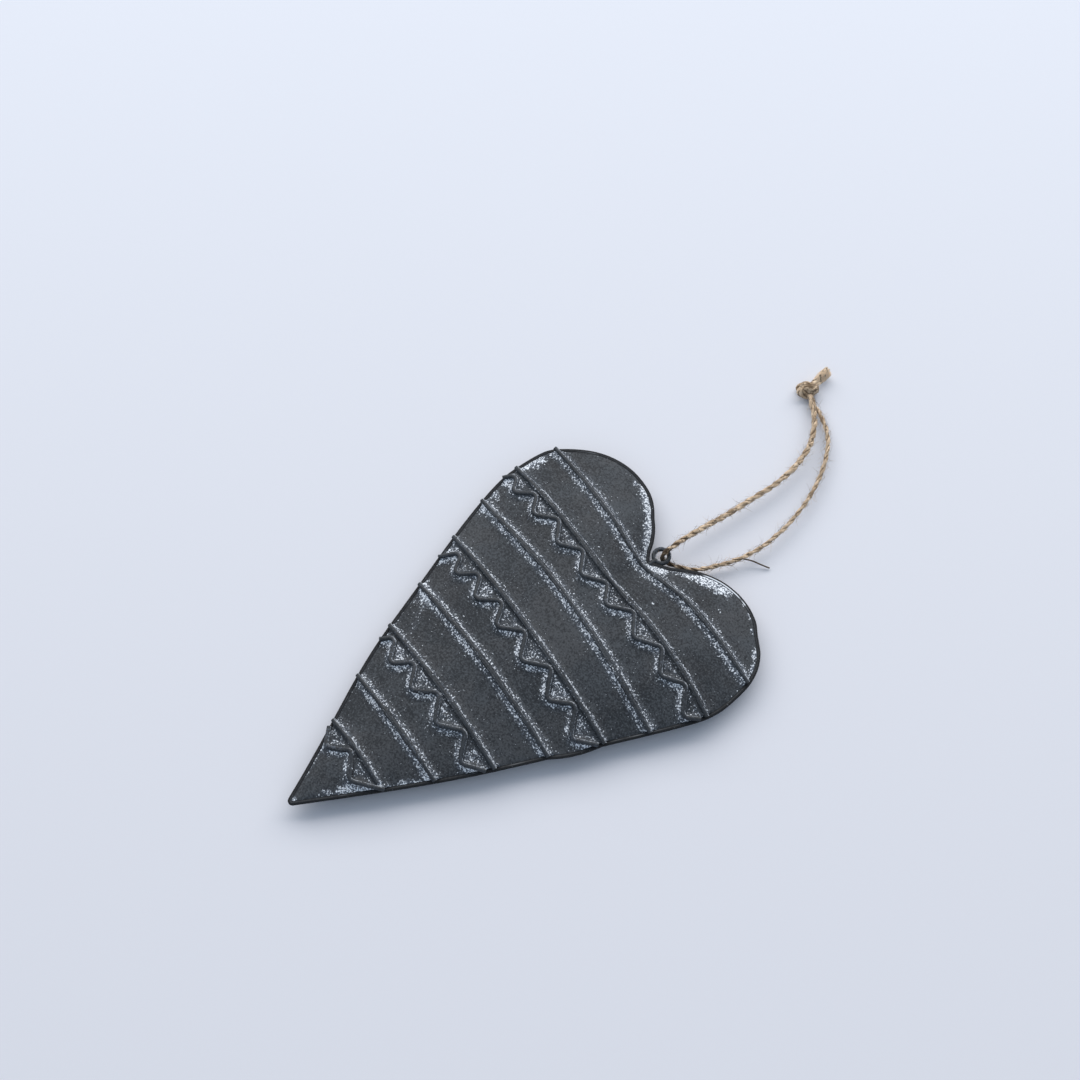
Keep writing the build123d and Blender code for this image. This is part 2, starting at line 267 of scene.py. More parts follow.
class SolderSettings(bpy.types.PropertyGroup):
    """The solder and the flux along the wires."""

    fillet_height: length_property(
        "Fillet Height", "How high the solder climbs over a wire", 0.00152, 0.0, 0.0016,
    )
    fillet_width: length_property(
        "Fillet Width", "How far the solder reaches from a wire's middle", 0.0030, 0.001, 0.005,
    )
    pool_height: length_property(
        "Pool Height", "Depth of the solder inside the zigzags", 0.0004, 0.0, 0.001,
    )
    band_reach: length_property(
        "Flux Reach", "How far the flux spreads from a wire's middle", 0.0038, 0.002, 0.008,
    )
    band_strength: FloatProperty(
        name="Band Strength", description="How much flux the bands hold",
        default=1.0, min=0.0, max=2.0, subtype="FACTOR",
    )
    wire: colour_property("Wire", "Dark annealed wire", (0.019, 0.023, 0.028))


class TwineSettings(bpy.types.PropertyGroup):
    """The jute twine, its knot and its cut ends."""

    diameter: length_property("Diameter", "Thickness of the twine", 0.002, 0.001, 0.004)
    length: length_property(
        "Length", "Length of the twine from the knot round to the knot", 0.1774, 0.1, 0.3,
    )
    lay: length_property("Lay", "Length of one full turn of the plies", 0.0072, 0.003, 0.02)
    hairs: IntProperty(
        name="Hairs", description="Loose fibres that stand off the twine",
        default=900, min=0, max=3000,
    )
    jute: colour_property("Jute", "Light fibres", (0.95, 0.76, 0.56))
    jute_dark: colour_property("Dark Jute", "Brown fibres", (0.27, 0.185, 0.11))
    # Painted shade in the creases between the plies, and the colour of dark fibres and flecks
    jute_shade_and_dark_fibres: colour_property(
        "Deep Jute", "The creases between the plies", (0.075, 0.05, 0.03),
    )


class StageSettings(bpy.types.PropertyGroup):
    """Floor, light and camera."""

    # The floor's colours hold painted light: lighter towards the top, and evened out past the
    # edges
    floor_top: colour_property(
        "Floor Far", "Colour of the floor at the top of the picture", (0.787, 0.838, 0.942),
    )
    floor_bottom: colour_property(
        "Floor Near", "Colour of the floor at the bottom of the picture", (0.765, 0.795, 0.88),
    )
    floor_lamp_side: colour_property(
        "Floor Under Lamp", "Colour of the floor past the top, under the lamp",
        (0.40, 0.425, 0.475),
    )
    floor_far_side: colour_property(
        "Floor Away", "Colour of the floor past the bottom, far from the lamp",
        (0.93, 0.95, 1.0),
    )
    lamp_power: FloatProperty(
        name="Lamp Power", description="Power of the window light",
        default=70.0, min=0.0, max=500.0, unit="POWER",
    )
    sky_strength: FloatProperty(
        name="Sky Strength", description="Strength of the light from all round",
        default=0.453, min=0.0, max=5.0,
    )
    lens: FloatProperty(
        name="Lens", description="Focal length of the camera in millimetres",
        default=73.33, min=10.0, max=300.0,
    )


# Meshes


def mesh_object(name, verts, faces, material, smooth=True, values=None):
    """A new mesh piece from points in metres, with named values at its points."""
    mesh = bpy.data.meshes.new(name)
    mesh.from_pydata([tuple(v) for v in verts], [], faces)
    mesh.update()
    if smooth:
        mesh.shade_smooth()
    for key, data in (values or {}).items():
        data = np.asarray(data, np.float32)
        kind = "FLOAT_VECTOR" if data.ndim == 2 else "FLOAT"
        made = mesh.attributes.new(key, kind, "POINT")
        made.data.foreach_set("vector" if data.ndim == 2 else "value", data.ravel())
    piece = bpy.data.objects.new(name, mesh)
    bpy.context.scene.collection.objects.link(piece)
    piece.data.materials.append(material)
    return piece


def cast_tree(*names):
    """Nodes as one tree of faces to cast rays at, mm, with the node that owns each face."""
    corners, faces, owners = [], [], []
    for name in names:
        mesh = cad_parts[name].data
        start = len(corners)
        corners += [v.co / MM for v in mesh.vertices]
        faces += [[start + i for i in p.vertices] for p in mesh.polygons]
        owners += [name] * len(mesh.polygons)
    return BVHTree.FromPolygons(corners, faces), owners


def rim_radii(tree, height, rays=4000):
    """The outline's radius about the middle at even angles, closed across the eye's slot."""
    angles = np.arange(rays) * 2 * math.pi / rays
    radii = np.zeros(rays)
    for i, angle in enumerate(angles):
        out = Vector((math.cos(angle), math.sin(angle), 0))
        hit = tree.ray_cast(MIDDLE + Vector((0, 0, height)) + out * FAR_OUT, -out)
        if hit[0] is not None:
            radii[i] = FAR_OUT - hit[3]
    good = radii > SLOT_RADIUS
    return angles, np.interp(angles, angles[good], radii[good])


def with_lips(angles, radii):
    """The outline with its edge as the hand has worked it, over the lobes and in the notch."""
    return radii + np.interp(np.degrees(angles), *zip(*LIPS))


def distances(line):
    """How far along a line each of its points lies."""
    return np.concatenate([[0], np.cumsum(np.linalg.norm(np.diff(line, axis=0), axis=1))])


def unit(rows):
    """Directions brought to length one."""
    return rows / np.maximum(np.linalg.norm(rows, axis=1), 1e-12)[:, None]


def rim_points(angles, radii, step):
    """The outline as points that lie evenly along it, with the inward direction at each."""
    xy = np.stack([MIDDLE.x + radii * np.cos(angles), MIDDLE.y + radii * np.sin(angles)], 1)
    closed = np.vstack([xy, xy[:1]])
    along = distances(closed)
    count = int(along[-1] / step)
    at = np.arange(count) * along[-1] / count
    ring = np.stack([np.interp(at, along, closed[:, k]) for k in (0, 1)], 1)
    tangent = unit(np.roll(ring, -1, 0) - np.roll(ring, 1, 0))
    return ring, np.stack([-tangent[:, 1], tangent[:, 0]], 1)


def wire_gaps(xyz, reach=9.0):
    """For each point, mm: its distance from the nearest wire, that wire's kind and its side."""
    tree, owners = cast_tree(*PLAIN, *BORDER, *ZIGZAG)
    gap = np.full(len(xyz), reach)
    kind = np.zeros(len(xyz), int)
    side = np.ones(len(xyz))
    for i, point in enumerate(xyz):
        place, _, face, distance = tree.find_nearest(Vector(point), reach)
        if place is None:
            continue
        gap[i] = distance
        kind[i] = KINDS.index(owners[face].split("_")[0])
        side[i] = 1.0 if point[1] > place.y else -1.0
    return gap, kind, side


def plan_span(name, columns, step=0.25):
    """The lowest and highest y that a wire covers at each column of x, seen from above, mm."""
    tree, _ = cast_tree(name)
    low, high = [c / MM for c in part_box(name)]
    rows = np.arange(low.y, high.y + step, step)
    first, last = np.full(len(columns), np.nan), np.full(len(columns), np.nan)
    for i, x in enumerate(columns):
        if not low.x <= x <= high.x:
            continue
        hits = [y for y in rows if tree.ray_cast(Vector((x, y, HIGH)), Vector((0, 0, -1)))[0]]
        if hits:
            first[i], last[i] = hits[0], hits[-1]
    return first, last


def pockets(xyz, margin=0.2, window=12):
    """Which points lie between a zigzag and its border wire, and which under its peaks.

    A peak is found among the columns of a window to each side.
    """
    columns = np.arange(-50, 50.01, 0.25)
    above, below = np.zeros(len(xyz), bool), np.zeros(len(xyz), bool)
    x, y = xyz[:, 0], xyz[:, 1]
    for border, zigzag in zip(BORDER, ZIGZAG):
        roof = plan_span(border, columns)[0]
        underside, floor = plan_span(zigzag, columns)
        good = ~np.isnan(roof) & ~np.isnan(floor)
        low = np.interp(columns, columns[good], underside[good])
        hem = np.array([low[max(k - window, 0):k + window + 1].min() for k in range(len(low))])
        top = np.interp(x, columns[good], roof[good], left=-999, right=-999)
        bottom = np.interp(x, columns[good], floor[good], left=999, right=999)
        under = np.interp(x, columns[good], underside[good], left=-999, right=-999)
        above |= (y < top + margin) & (y > bottom - margin)
        below |= (y < under + margin) & (y > np.interp(x, columns, hem) - margin / 2)
    return above, below


def streaks(xy):
    """Strength of the loose pale streaks at each point."""
    total = np.zeros(len(xy))
    for x0, y0, x1, y1, width, strength in STREAKS:
        start, run = np.array((x0, y0)), np.array((x1 - x0, y1 - y0))
        t = np.clip((xy - start) @ run / max(run @ run, 1e-6), 0, 1)
        away = np.linalg.norm(xy - start - t[:, None] * run, axis=1)
        total = np.maximum(total, strength * np.exp(-((away / width) ** 2)))
    return total


def drift(xyz, size, seed):
    """Slow noise over a surface, from -1 to 1, with bumps of about the given size in mm."""
    offset = Vector((seed * 17.3, seed * 5.1, seed * 9.7))
    return np.array([noise(Vector(p) / size + offset) for p in xyz])


def lattice(fine):
    """A triangular lattice over the heart, mm, with the coarsest level that each point is on."""
    rows = int(LATTICE_SIZE[1] / (fine * ROW_SHARE)) + 1
    columns = int(LATTICE_SIZE[0] / fine) + 1
    j, i = np.mgrid[0:rows, -rows // 2:columns]
    x, y = LATTICE_START[0] + (i + 0.5 * j) * fine, LATTICE_START[1] + j * fine * ROW_SHARE
    level = np.where((i % 4 == 0) & (j % 4 == 0), 4, np.where((i % 2 == 0) & (j % 2 == 0), 2, 1))
    seen = np.abs(x) < LATTICE_SIZE[0] / 2
    return x[seen], y[seen], level[seen]


def inside_ring(xy, ring):
    """Which points lie inside a ring that every ray from the middle crosses once."""
    turn = np.unwrap(np.arctan2(ring[:, 1] - MIDDLE.y, ring[:, 0] - MIDDLE.x))
    angle = np.arctan2(xy[:, 1] - MIDDLE.y, xy[:, 0] - MIDDLE.x)
    angle = turn[0] + (angle - turn[0]) % (2 * math.pi)
    k = np.clip(np.searchsorted(turn, angle) - 1, 0, len(ring) - 1)
    a, b = ring[k], ring[(k + 1) % len(ring)]
    return (b[:, 0] - a[:, 0]) * (xy[:, 1] - a[:, 1]) > (b[:, 1] - a[:, 1]) * (xy[:, 0] - a[:, 0])


def rim_rows(ring, inward, up):
    """The rolled edge as rows of points from the seam to the face, with how dark they are painted,
    and their wear with its painted highlight.
    """
    flat = np.column_stack([ring, np.zeros(len(ring))])
    turn = np.degrees(np.arctan2(ring[:, 1] - MIDDLE.y, ring[:, 0] - MIDDLE.x))
    wave = 0.03 * drift(flat, 9.0, 3)
    # The edge is rubbed bright in patches, and most of all on the right lobe by the notch, where
    # it is partly a painted highlight
    patchy = np.clip(0.3 + 1.1 * drift(flat, 5.0, 12), 0, 1)
    rubbed = patchy * np.where((turn > RUBBED_AND_LIT[0]) & (turn < RUBBED_AND_LIT[1]), 0.7, 0.3)
    rubbed = np.maximum(rubbed, np.exp(-(((turn - BRIGHTEST[0]) / BRIGHTEST[1]) ** 6)))
    rows, dark, worn = [], [], []
    for inset, rise, dark_rim_and_crease_shade, wear_and_highlight in RIM:
        height = SEAM + up * (rise + wave * (rise > 0.4))
        rows.append(np.column_stack([ring + inward * inset, height]))
        dark.append(np.full(len(ring), dark_rim_and_crease_shade))
        worn.append(wear_and_highlight * rubbed)
    return rows, dark, worn


def face_points(tree, outline, ring, up, fine, near_wires):
    """Points of the lattice on a sheet's face, mm, and how far each lies from the rim."""
    x, y, level = lattice(fine)
    away = np.hypot(x - MIDDLE.x, y - MIDDLE.y)
    angle = np.arctan2(y - MIDDLE.y, x - MIDDLE.x) % (2 * math.pi)
    within = away < np.interp(angle, *outline, period=2 * math.pi) - 0.8
    x, y, level = x[within], y[within], level[within]
    rim = KDTree(len(ring))
    for i, (px, py) in enumerate(ring):
        rim.insert((px, py, 0), i)
    rim.balance()
    rim_gap = np.array([rim.find((px, py, 0))[2] for px, py in zip(x, y)])
    keep = rim_gap > RIM[-1][0] + 0.2
    x, y, level, rim_gap = x[keep], y[keep], level[keep], rim_gap[keep]
    z = np.array([height_at(tree, px, py, up) for px, py in zip(x, y)])
    points = np.column_stack([x, y, z])
    if near_wires:
        gap = wire_gaps(points)[0]
        keep = (level == 4) | ((level == 2) & (gap < HALF_WITHIN)) | (gap < ALL_WITHIN)
    else:
        keep = level >= 2
    return points[keep], rim_gap[keep]


def filled_face(edge, points, rim_gap):
    """The edge's last row and the face's points joined by triangles.

    It gives the points, each one's distance from the rim and its number in the row, and faces.
    """
    count = len(edge)
    flat = [Vector(p[:2]) for p in edge] + [Vector(p[:2]) for p in points]
    bounds = [(i, (i + 1) % count) for i in range(count)]
    places, _, triangles, origin, *_ = delaunay_2d_cdt(flat, bounds, [], 0, 1e-7, True)
    origin = np.array([o[0] for o in origin])
    on_ring = origin < count
    xyz = np.zeros((len(places), 3))
    xyz[:, :2] = [tuple(p) for p in places]
    xyz[on_ring, 2] = edge[origin[on_ring], 2]
    xyz[~on_ring, 2] = points[origin[~on_ring] - count, 2]
    edge_gap = np.full(len(places), RIM[-1][0])
    edge_gap[~on_ring] = rim_gap[origin[~on_ring] - count]
    triangles = np.array(triangles)
    triangles = triangles[inside_ring(xyz[triangles, :2].mean(1), edge[:, :2])]
    return xyz, edge_gap, origin, triangles


def sheet_mesh(name, node, up, fine, dress, material):
    """One tin sheet on a fine lattice: its rolled edge, and its face on the solid's height."""
    tree, _ = cast_tree(node)
    angles, radii = rim_radii(tree, SEAM + EDGE_RISE * up)
    outline = angles, with_lips(angles, radii)
    ring, inward = rim_points(*outline, EDGE_STEP)
    rows, dark, worn = rim_rows(ring, inward, up)
    points, rim_gap = face_points(tree, outline, ring, up, fine, dress is soldered_sheet)
    xyz, edge_gap, origin, triangles = filled_face(rows[-1], points, rim_gap)
    rise, values = dress(xyz, edge_gap)
    xyz += slopes(xyz, triangles) * (up * rise)[:, None]
    faces = [list(f) if up > 0 else list(f[::-1]) for f in triangles.tolist()]
    # The edge's rows, joined to the face at its ring
    start, count = len(xyz), len(ring)
    index = {source: i for i, source in enumerate(origin.tolist()) if source < count}
    verts = np.vstack([xyz] + rows[:-1])
    for r in range(len(rows) - 1):
        for i in range(count):
            k = (i + 1) % count
            quad = [start + r * count + i, start + r * count + k]
            if r + 1 < len(rows) - 1:
                quad += [start + (r + 1) * count + k, start + (r + 1) * count + i]
            else:
                quad += [index[k], index[i]]
            faces.append(quad if up > 0 else quad[::-1])
    extra = len(verts) - start
    full = {k: np.concatenate([v, np.zeros(extra)]) for k, v in values.items()}
    # How dark each row of the rim is painted
    full["rim"] = np.concatenate([np.zeros(start), *dark[:-1]])
    # The rubbed edge: partly real wear, partly a painted highlight
    full["worn"] = np.concatenate([np.zeros(start), *worn[:-1]])
    return mesh_object(name, verts * MM, faces, material, values=full)


def slopes(xyz, triangles):
    """The direction that the sheet faces at each point, smoothed over its neighbours."""

    def gathered(rows):
        total = np.zeros_like(xyz)
        for k in range(3):
            np.add.at(total, triangles[:, k], rows)
        return total

    a, b, c = (xyz[triangles[:, k]] for k in range(3))
    total = gathered(unit(np.cross(b - a, c - a)))
    for _ in range(3):
        total = gathered(unit(total[triangles].sum(1)))
    return unit(total)


def height_at(tree, x, y, up):
    """The solid's height at a point, bridged over the slot that the eye's shank lies in."""
    hit = tree.ray_cast(Vector((x, y, SEAM + HIGH * up)), Vector((0, 0, -up)))[0]
    level = 0.5 if hit is None else max(up * (hit.z - SEAM), 0.5)
    if y > BRIDGE_START:
        middle, width, height = BRIDGE
        level = max(level, height * math.exp(-(((x - middle) / width) ** 2)))
    return SEAM + up * level


def plain_sheet(xyz, edge_gap):
    """The back: a little unevenness and scuffs."""
    rise = 0.07 * drift(xyz, 14.0, 5) * np.clip(edge_gap / 6, 0, 1)
    return rise, {
        "residue": 0.5 * np.clip(drift(xyz, 11.0, 8) - 0.1, 0, 1),
        "crevice": np.zeros(len(xyz)),
    }


def soldered_sheet(xyz, edge_gap):
    """The front: solder that climbs the wires, pools in the zigzags, flux beside them, and painted
    shade in the creases.
    """
    gap, kind, side = wire_gaps(xyz)
    plan = np.sqrt(np.clip((gap + WIRE_RADIUS) ** 2 - WIRE_STANDS**2, 0, None))
    above, below = pockets(xyz)
    inside = above & (gap < 4.5)
    open_side = inside & (kind == 1)
    # A crease where the solder meets the wire's flank, broken here and there: a groove, with
    # painted shade in its colour
    broken = np.clip(0.7 + 0.9 * drift(xyz, 5.0, 17), 0.15, 1)
    seam = broken * np.exp(-(((plan - 0.66) / 0.1) ** 2))
    # A painted shadow in the pockets beside a border wire
    gap_shadow = 0.2 * broken * np.exp(-(((plan - 0.8) / 0.16) ** 2)) * open_side
    return solder_height(xyz, edge_gap, plan, inside, open_side, seam), {
        "residue": flux_mask(xyz, edge_gap, plan, inside, below, kind, side),
        "crevice": np.maximum(seam, gap_shadow),
    }


def solder_height(xyz, edge_gap, plan, inside, open_side, seam):
    """A fillet against each wire, a pool in the zigzags, and the hand-worked sheet, mm."""
    solder = bpy.context.scene.heart_solder
    sheet = bpy.context.scene.heart_sheet
    slow, lumps = drift(xyz, 7.0, 1), drift(xyz, 1.1, 2)
    width = solder.fillet_width / MM * (1 + 0.12 * slow)
    climb = np.interp(plan / width, *zip(*FILLET))
    rise = solder.fillet_height / MM * climb * (1 + 0.05 * lumps)
    pool = solder.pool_height / MM * (0.8 + 0.7 * lumps)
    rise = np.where(open_side, np.minimum(rise, np.interp(plan, *zip(*STEEP))), rise)
    rise = np.where(inside, np.maximum(rise, pool), rise)
    rise += 0.08 * lumps * np.exp(-((plan / 2.8) ** 2)) * (plan > 0.6)
    rise -= 0.08 * seam
    uneven = sheet.unevenness / MM * drift(xyz, 16.0, 6)
    rise += uneven * np.clip(plan / 5, 0.25, 1) * np.clip(edge_gap / 4, 0, 1)
    return rise * np.clip((edge_gap - 0.9) / 0.6, 0, 1)


def flux_mask(xyz, edge_gap, plan, inside, below, kind, side):
    """Flux: a bright line, partly a painted highlight, and a band on the upper side, sparser
    below, and full pockets.
    """
    solder = bpy.context.scene.heart_solder
    along = [np.clip(0.75 + 0.75 * drift(xyz, size, seed), 0, 1.4)
             for size, seed in ((9.0, 4), (6.0, 13), (7.0, 14), (4.0, 9))]
    vary = [0.62 + 0.44 * share for share in along]
    reach = plan * FLUX_REACH / (solder.band_reach / MM)
    upper, border, lower, outline = (
        np.interp(reach, *zip(*table)) * share
        for table, share in zip((FLUX_UPPER, FLUX_BORDER, FLUX_LOWER, FLUX_OUTLINE), vary)
    )
    upper = np.where(kind == 1, border, upper)
    flux = np.where(kind == 2, outline, np.where(side > 0, upper, lower))
    corner = np.clip((plan - 0.8) / 0.2, 0, 1) * np.exp(-((plan / 2.6) ** 4)) * 0.88 * vary[3]
    flux = np.where(below & (kind == 2), np.maximum(flux, corner), flux)
    clear = np.where(kind == 1, 1.15, 0.8)
    fill = np.clip((plan - clear) / 0.4, 0, 1) * np.clip(0.1 + 0.52 * along[3], 0, 0.64)
    flux = np.where(inside, fill, flux)
    halo = 0.34 * np.exp(-((plan / 4.2) ** 2)) * along[2]
    flux = np.maximum(solder.band_strength * flux, halo) + streaks(xyz[:, :2])
    patches = np.clip(0.1 + drift(xyz, 6.5, 11), 0, 1)
    rim_speckle = 0.6 * np.exp(-(((edge_gap - 1.4) / 0.9) ** 2)) * patches
    return np.clip(flux + rim_speckle, 0, 1.2)


def smooth_line(points, steps=12):
    """Points along the smooth spline that a route of control points gives."""
    curve = bpy.data.curves.new("route", "CURVE")
    curve.dimensions = "3D"
    curve.resolution_u = steps
    spline = curve.splines.new("NURBS")
    spline.points.add(len(points) - 1)
    for point, place in zip(spline.points, points):
        point.co = (*place, 1.0)
    spline.order_u = 3
    spline.use_endpoint_u = True
    holder = bpy.data.objects.new("route", curve)
    mesh = bpy.data.meshes.new_from_object(holder)
    line = np.array([v.co for v in mesh.vertices])
    bpy.data.objects.remove(holder)
    bpy.data.curves.remove(curve)
    bpy.data.meshes.remove(mesh)
    return line


def even_line(line, step):
    """The same line with its points an even step apart."""
    along = distances(line)
    count = max(int(along[-1] / step), 2)
    at = np.linspace(0, along[-1], count + 1)
    return np.stack([np.interp(at, along, line[:, k]) for k in range(3)], 1)


def frames_along(line):
    """Tangent, side and up vectors carried along a line without twist."""
    tangent = unit(np.gradient(line, axis=0))
    across = np.zeros_like(line)
    first = np.cross(tangent[0], (0.0, 0.0, 1.0))
    across[0] = first / np.linalg.norm(first)
    for i in range(1, len(line)):
        side = across[i - 1] - tangent[i] * (across[i - 1] @ tangent[i])
        across[i] = side / np.linalg.norm(side)
    return tangent, across, np.cross(tangent, across)


def thickness(share):
    """How thick the twine is at a share of its length."""
    return np.interp(share, *zip(*THICKNESS))


class MeshParts:
    """Tubes gathered into one mesh, with the fibre coordinates and the shade of each point."""

    def __init__(self):
        self.verts, self.faces, self.fibre, self.shade = [], [], [], []
        self.count = 0

    def tube(self, line, radii, sides, shade=0.0, twist=0.0, squash=None):
        """A closed tube round a line. The fibres run along it, turned by the twist per metre."""
        line = np.asarray(line)
        _, across, up = frames_along(line)
        along = distances(line)
        radii = np.broadcast_to(radii, len(line))
        shade = np.broadcast_to(np.asarray(shade, float), len(line))
        turn = np.arange(sides) * 2 * math.pi / sides
        ring = (
            across[:, None, :] * np.cos(turn)[None, :, None]
            + up[:, None, :] * np.sin(turn)[None, :, None]
        )
        places = line[:, None, :] + ring * radii[:, None, None]
        if squash is not None:
            places = squash(places, ring)
        round_ = turn[None, :] + twist * along[:, None]
        fibre = np.stack(
            [np.cos(round_), np.sin(round_), np.broadcast_to(along[:, None] / MM, round_.shape)], 2
        )
        self.verts.append(places.reshape(-1, 3))
        self.fibre.append(fibre.reshape(-1, 3))
        self.shade.append(np.repeat(shade, sides))
        n, start = len(line), self.count
        for i in range(n - 1):
            for k in range(sides):
                j = (k + 1) % sides
                a, b = start + i * sides, start + (i + 1) * sides
                self.faces.append((a + k, a + j, b + j, b + k))
        self.faces.append(tuple(start + k for k in range(sides))[::-1])
        self.faces.append(tuple(start + (n - 1) * sides + k for k in range(sides)))
        self.count += n * sides

    def build(self, name, material):
        """The tubes as one piece, held just above the table."""
        values = {"fibre": np.concatenate(self.fibre), "shade": np.concatenate(self.shade)}
        verts = np.concatenate(self.verts)
        verts[:, 2] = np.maximum(verts[:, 2], 0.00003)
        return mesh_object(name, verts, self.faces, material, values=values)


def plied(parts, line, diameter, lay, rng, phase=0.0, swell=None, sides=14):
    """Two plies wound round a line, each lumpy, with painted shade where they meet."""
    line = even_line(line, 0.00032)
    _, across, up = frames_along(line)
    along = distances(line)
    swell = np.ones(len(line)) if swell is None else swell(along / along[-1])
    offset = rng.random(2) * 50
    lump = np.array([noise(Vector((a / 0.0017, offset[0], 0))) for a in along])
    slow = np.array([noise(Vector((a / 0.008, offset[1], 3))) for a in along])
    wander = 2 * math.pi * along / lay + phase + 0.9 * slow
    for ply in range(2):
        angle = wander + ply * math.pi
        spoke = across * np.cos(angle)[:, None] + up * np.sin(angle)[:, None]
        radius = diameter * 0.335 * swell * (1 + 0.26 * lump * (1 - 2 * ply) + 0.24 * slow)
        centre = line + spoke * (diameter * 0.15 * swell)[:, None]

        def rough(places, ring, radius=radius):
            flat = places.reshape(-1, 3)
            bumps = np.array([noise(Vector(p) / 0.0006) for p in flat]).reshape(places.shape[:2])
            return places + ring * (radius[:, None] * 0.16 * bumps)[:, :, None]

        parts.tube(centre, radius, sides, twist=-2 * math.pi / (lay * 0.8), squash=rough)
        # Shade: 1 on the side of a ply that faces the other ply
        places = parts.verts[-1].reshape(len(line), sides, 3)
        outward = np.einsum("ijk,ik->ij", places - line[:, None, :], spoke)
        parts.shade[-1] = (1 - np.clip(outward / (diameter * 0.42), 0, 1)).reshape(-1)
    return line


def hair(parts, start, direction, length, radius, rng, shade, curl=0.6, count=6):
    """A thin fibre that bends as it goes and ends in a point."""
    line = [start]
    way = direction / np.linalg.norm(direction)
    bend = rng.normal(size=3) * curl
    for _ in range(count):
        way = way + bend * 0.18 + rng.normal(size=3) * 0.12 * curl
        way /= np.linalg.norm(way)
        line.append(line[-1] + way * length / count)
    parts.tube(np.array(line), radius * np.linspace(1, 0.3, count + 1), 3, shade=shade)


# Materials


def fill(tree, node, inputs):
    """A node's inputs, each linked to a socket or set to a value."""
    for key, value in inputs.items():
        if isinstance(value, bpy.types.NodeSocket):
            tree.links.new(value, node.inputs[key])
        else:
            node.inputs[key].default_value = value


def put(tree, kind, inputs=None, **settings):
    """A shader node with its settings and its inputs."""
    made = tree.nodes.new(kind)
    for key, value in settings.items():
        setattr(made, key, value)
    fill(tree, made, inputs or {})
    return made


def calc(tree, operation, a, b=0.0, c=0.0, clamp=False):
    """One step of arithmetic on values."""
    settings = {"operation": operation, "use_clamp": clamp}
    return put(tree, "ShaderNodeMath", {0: a, 1: b, 2: c}, **settings).outputs[0]


def blend(tree, amount, a, b, mode="MIX"):
    """Two colours mixed by an amount. The node has its colours at 6 and 7, and the result at 2."""
    settings = {"data_type": "RGBA", "blend_type": mode}
    return put(tree, "ShaderNodeMix", {0: amount, 6: a, 7: b}, **settings).outputs[2]


def spread(tree, value, low, high, to_low=0.0, to_high=1.0):
    """A value moved from one range to another, and held inside it."""
    inputs = {
        "Value": value, "From Min": low, "From Max": high, "To Min": to_low, "To Max": to_high,
    }
    made = put(tree, "ShaderNodeMapRange", inputs, interpolation_type="SMOOTHSTEP")
    return made.outputs["Result"]


def noise_at(tree, place, scale, detail=2.0, rough=0.5):
    """Noise of a size, in bumps per metre."""
    inputs = {"Vector": place, "Scale": scale, "Detail": detail, "Roughness": rough}
    return put(tree, "ShaderNodeTexNoise", inputs).outputs["Fac"]


def bumps(tree, height, strength, distance):
    """The surface's direction where a height disturbs it."""
    inputs = {"Height": height, "Strength": strength, "Distance": distance}
    return put(tree, "ShaderNodeBump", inputs).outputs["Normal"]


def value_of(tree, name, output="Fac"):
    """A value that the mesh holds at its points."""
    return put(tree, "ShaderNodeAttribute", attribute_name=name).outputs[output]


def group(name, inputs, outputs):
    """An empty node group with inputs of a kind, values as outputs, and its two end nodes."""
    tree = bpy.data.node_groups.new(name, "ShaderNodeTree")
    for key, kind in inputs.items():
        tree.interface.new_socket(key, in_out="INPUT", socket_type=kind)
    for key in outputs:
        tree.interface.new_socket(key, in_out="OUTPUT", socket_type="NodeSocketFloat")
    return tree, tree.nodes.new("NodeGroupInput").outputs, tree.nodes.new("NodeGroupOutput")


def flux_group():
    """Flux crust: where a mask thickens, fine speckles join into a crust."""
    if "Flux Crust" in bpy.data.node_groups:
        return bpy.data.node_groups["Flux Crust"]
    tree, given, result = group(
        "Flux Crust",
        {"Place": "NodeSocketVector", "Mask": "NodeSocketFloat"},
        ("Cover", "Brightness", "Film", "Height"),
    )
    place, mask = given["Place"], given["Mask"]
    fine = noise_at(tree, place, 1750.0, 2.0, 0.6)
    cover = spread(tree, calc(tree, "MULTIPLY_ADD", mask, 0.36, fine), 0.70, 0.78)
    sparks = spread(tree, noise_at(tree, place, 2100.0, 1.0, 0.5), 0.42, 0.57)
    fill(tree, result, {
        "Cover": cover,
        "Brightness": calc(tree, "MULTIPLY", sparks, cover),
        "Film": spread(tree, mask, 0.1, 1.1, 0.0, 0.5),
        "Height": calc(tree, "MULTIPLY", cover, fine),
    })
    return tree


def patina_group():
    """Mottled patina with a fine grain, for tin and wire alike."""
    if "Patina" in bpy.data.node_groups:
        return bpy.data.node_groups["Patina"]
    tree, given, result = group(
        "Patina", {"Place": "NodeSocketVector"}, ("Rubbed", "Grain", "Warmth"),
    )
    place = given["Place"]
    wide = noise_at(tree, place, 45.0, 3.0, 0.55)
    small = noise_at(tree, place, 420.0, 2.0, 0.6)
    grain = noise_at(tree, place, 1700.0, 2.0, 0.6)
    mixed = calc(tree, "MULTIPLY_ADD", wide, 0.3, calc(tree, "MULTIPLY", small, 0.1))
    mixed = calc(tree, "MULTIPLY_ADD", grain, 0.6, mixed)
    fill(tree, result, {
        "Rubbed": spread(tree, mixed, 0.39, 0.62),
        "Grain": grain,
        "Warmth": spread(tree, noise_at(tree, place, 75.0, 2.0, 0.6), 0.42, 0.62),
    })
    return tree


